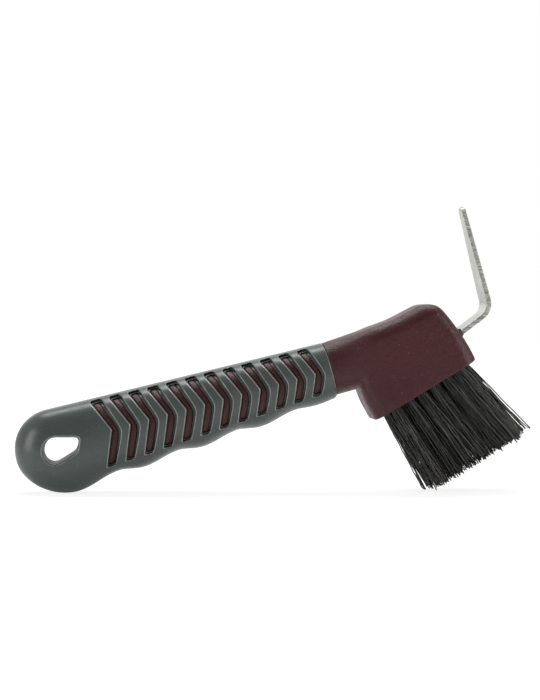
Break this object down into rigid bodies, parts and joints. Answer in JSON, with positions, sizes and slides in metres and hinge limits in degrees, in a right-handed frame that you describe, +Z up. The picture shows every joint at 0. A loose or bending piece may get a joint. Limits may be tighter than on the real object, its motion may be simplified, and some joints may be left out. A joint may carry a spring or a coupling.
{
  "type": "hoof pick",
  "caption": "Hoof pick with a bent flat steel pick blade and a stiff bristle brush on one head, and an over-moulded rubber grip with chevron windows and a hang hole.",
  "frame": {"origin": "middle of the tool's footprint, on the floor it stands on", "axes": "+X from the round end of the grip towards the head, level; +Z up, the side the blade points to; Y across the tool, which is symmetric about Y = 0. The handle's axis rises 16.3 degrees towards +X."},
  "size_m": [0.1826, 0.026, 0.1017],
  "materials": {
    "core_plastic": "satin burgundy moulded plastic with a fine grain",
    "grip_rubber": "smooth satin grey soft rubber",
    "blade_steel": "zinc-grey satin strip with rougher sheared edges",
    "bristle": "black crimped nylon filament",
    "staple_steel": "bright flat wire"
  },
  "bodies": {
    "root": {"handle_core": "core_plastic", "grip_sleeve": "grip_rubber", "pick_blade": "blade_steel", "tuft_left_1": "bristle", "tuft_left_2": "bristle", "tuft_left_3": "bristle", "tuft_left_4": "bristle", "tuft_left_5": "bristle", "tuft_left_6": "bristle", "tuft_mid_1": "bristle", "tuft_mid_2": "bristle", "tuft_mid_3": "bristle", "tuft_mid_4": "bristle", "tuft_mid_5": "bristle", "tuft_mid_6": "bristle", "tuft_mid_7": "bristle", "tuft_right_1": "bristle", "tuft_right_2": "bristle", "tuft_right_3": "bristle", "tuft_right_4": "bristle", "tuft_right_5": "bristle", "tuft_right_6": "bristle", "anchor_staples": "staple_steel"}
  },
  "joints": []
}
